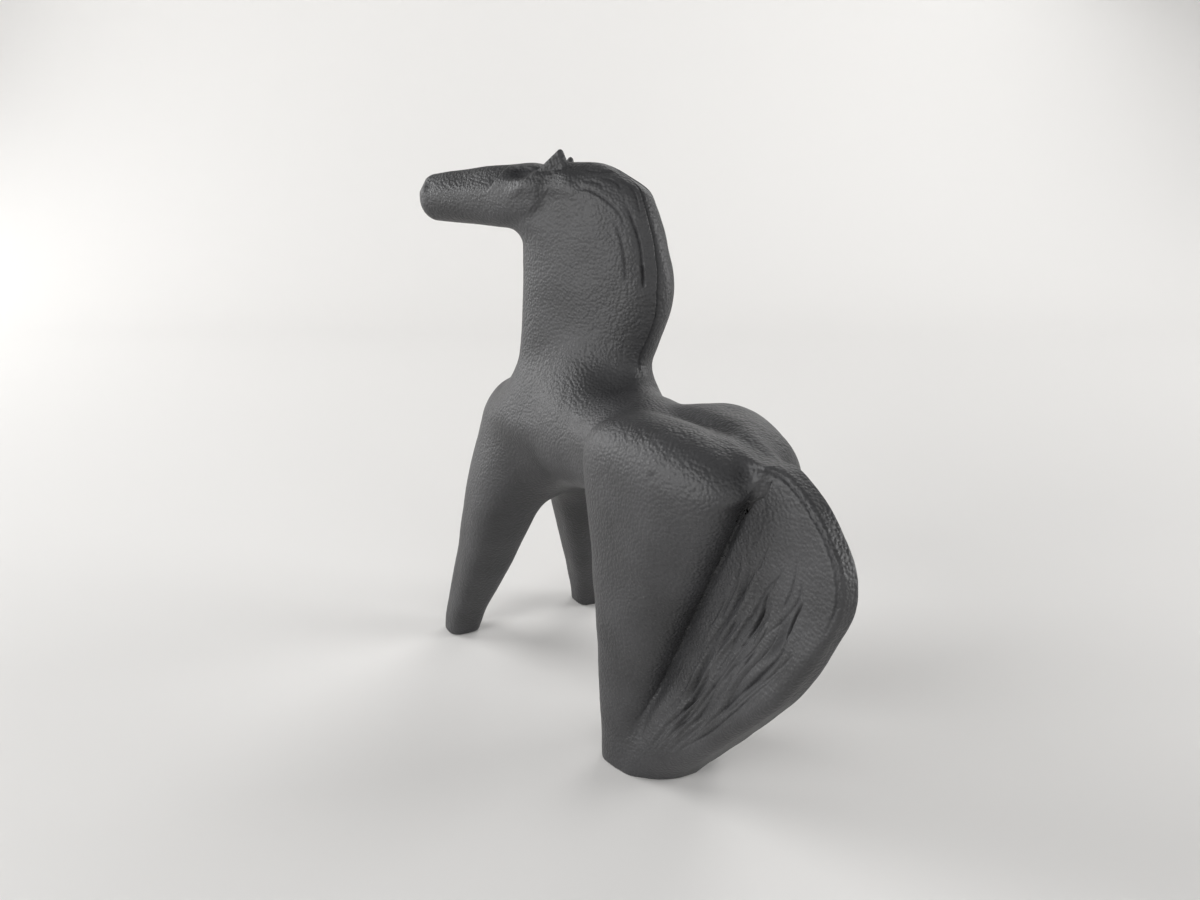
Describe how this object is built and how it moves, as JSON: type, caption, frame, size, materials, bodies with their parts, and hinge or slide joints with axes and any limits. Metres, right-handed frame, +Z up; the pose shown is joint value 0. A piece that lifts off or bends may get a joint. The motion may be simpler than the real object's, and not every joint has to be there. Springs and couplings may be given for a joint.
{
  "type": "horse figurine",
  "caption": "Small black cast horse figurine that looks to its left, with a broad arched neck, splayed forelegs and a wide slab tail that reaches the ground, assembled from pinned castings.",
  "frame": {"origin": "on the floor under the middle of the whole part's box", "axes": "+X towards the horse's chest, +Y to the horse's left, +Z up"},
  "size_m": [0.1114, 0.044, 0.1089],
  "materials": {
    "black_iron": "matt black coating over a pebbly sand-cast skin",
    "pin_steel": "drawn wire, hidden inside the castings"
  },
  "bodies": {
    "root": {"torso": "black_iron", "neck": "black_iron", "mane": "black_iron", "head": "black_iron", "left_ear": "black_iron", "right_ear": "black_iron", "left_foreleg": "black_iron", "right_foreleg": "black_iron", "left_hind_leg": "black_iron", "right_hind_leg": "black_iron", "tail": "black_iron", "neck_dowel": "pin_steel", "head_dowel": "pin_steel", "mane_pins": "pin_steel", "foreleg_dowels": "pin_steel", "hind_dowels": "pin_steel", "tail_cross_pins": "pin_steel"}
  },
  "joints": []
}
